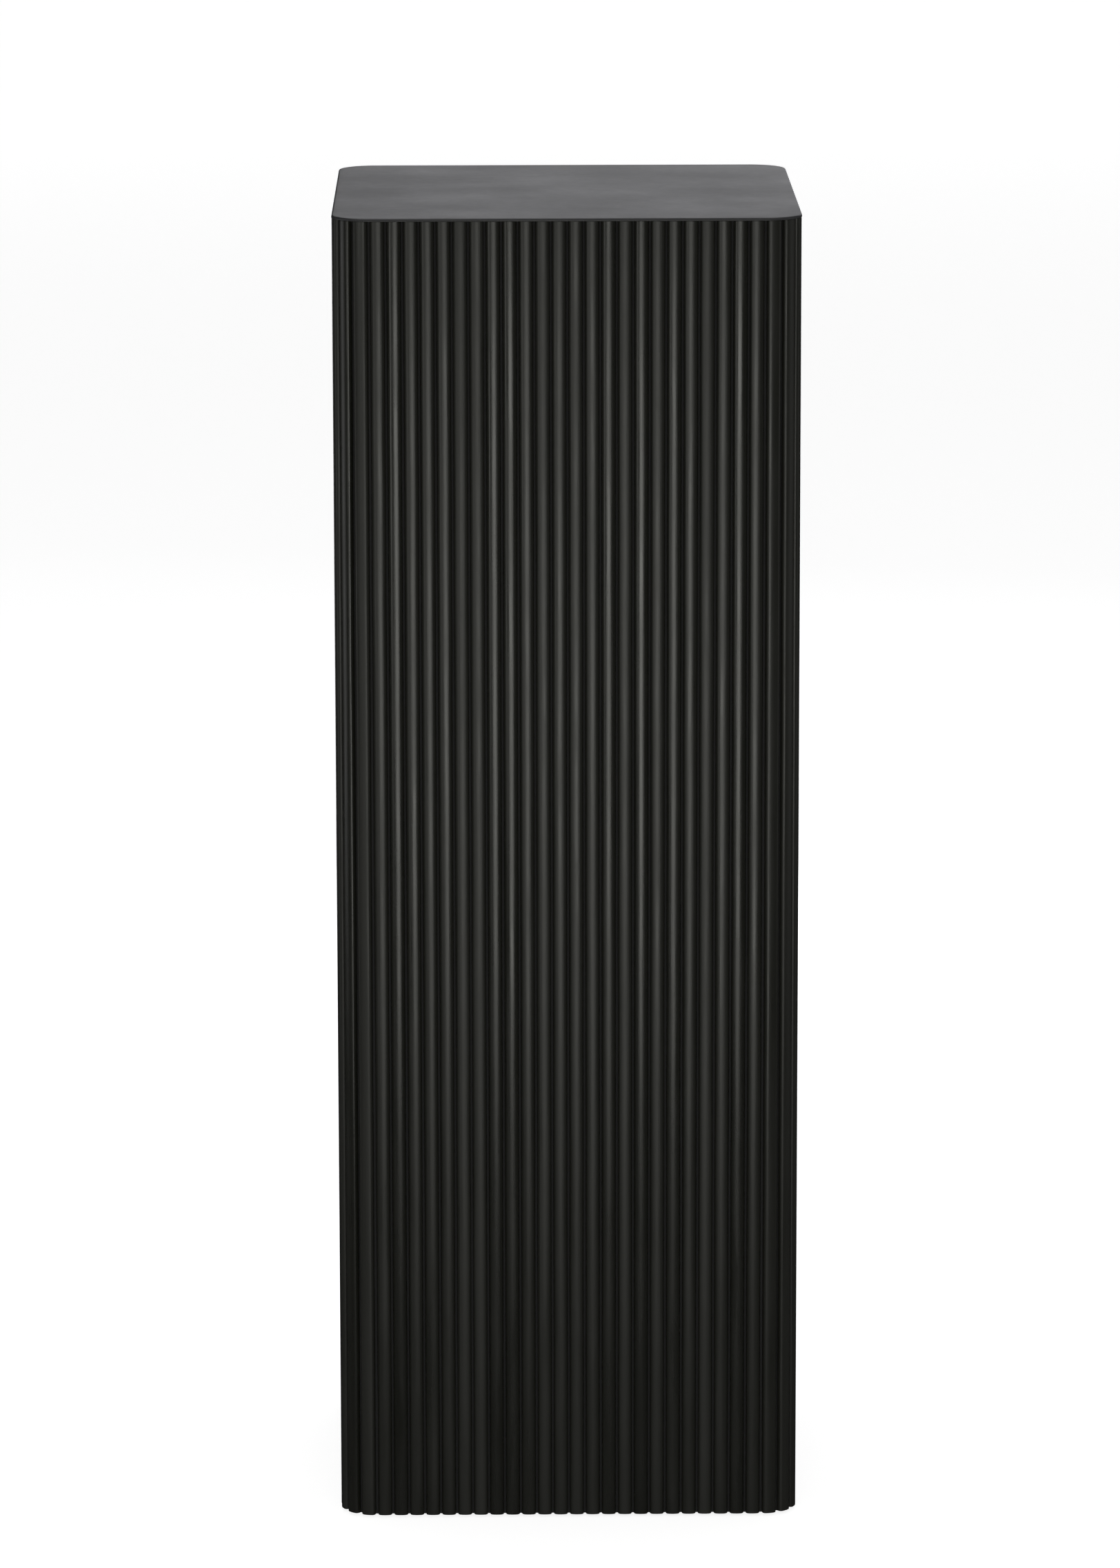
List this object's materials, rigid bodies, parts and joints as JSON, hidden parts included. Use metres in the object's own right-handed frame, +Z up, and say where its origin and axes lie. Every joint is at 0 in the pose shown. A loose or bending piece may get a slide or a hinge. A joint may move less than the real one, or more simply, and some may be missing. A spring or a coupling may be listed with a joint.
{
  "type": "display plinth",
  "caption": "Square free-standing display plinth with rounded corners, wrapped in black round-faced vertical slats under a thin flat cap.",
  "frame": {"origin": "on the floor under the middle of the plinth, level with the glides' undersides", "axes": "+Z up along the slats, front face towards -Y, +X to the right seen from the front"},
  "size_m": [0.35, 0.35, 1],
  "materials": {
    "slat_lacquer": "satin black lacquer on wooden round-faced slats",
    "cap_lacquer": "satin black lacquer on a thin hardboard sheet",
    "backing_cloth": "black cloth with glue",
    "mdf": "raw fibreboard, sanded",
    "softwood": "raw planed pine",
    "beech": "raw turned beech",
    "zinc_steel": "zinc plated",
    "nylon": "moulded black nylon"
  },
  "bodies": {
    "root": {"top_cap": "cap_lacquer", "top_panel": "mdf", "mid_brace": "mdf", "base_panel": "mdf", "front_board": "mdf", "right_board": "mdf", "back_board": "mdf", "left_board": "mdf", "post_front_right": "softwood", "post_back_right": "softwood", "post_back_left": "softwood", "post_front_left": "softwood", "top_battens": "softwood", "bottom_battens": "softwood", "tambour_backing": "backing_cloth", "front_slats": "slat_lacquer", "right_slats": "slat_lacquer", "back_slats": "slat_lacquer", "left_slats": "slat_lacquer", "corner_slat_front_right": "slat_lacquer", "corner_slat_back_right": "slat_lacquer", "corner_slat_back_left": "slat_lacquer", "corner_slat_front_left": "slat_lacquer", "top_dowels": "beech", "base_screws": "zinc_steel", "batten_screws": "zinc_steel", "floor_glides": "nylon", "glide_screws": "zinc_steel"}
  },
  "joints": []
}
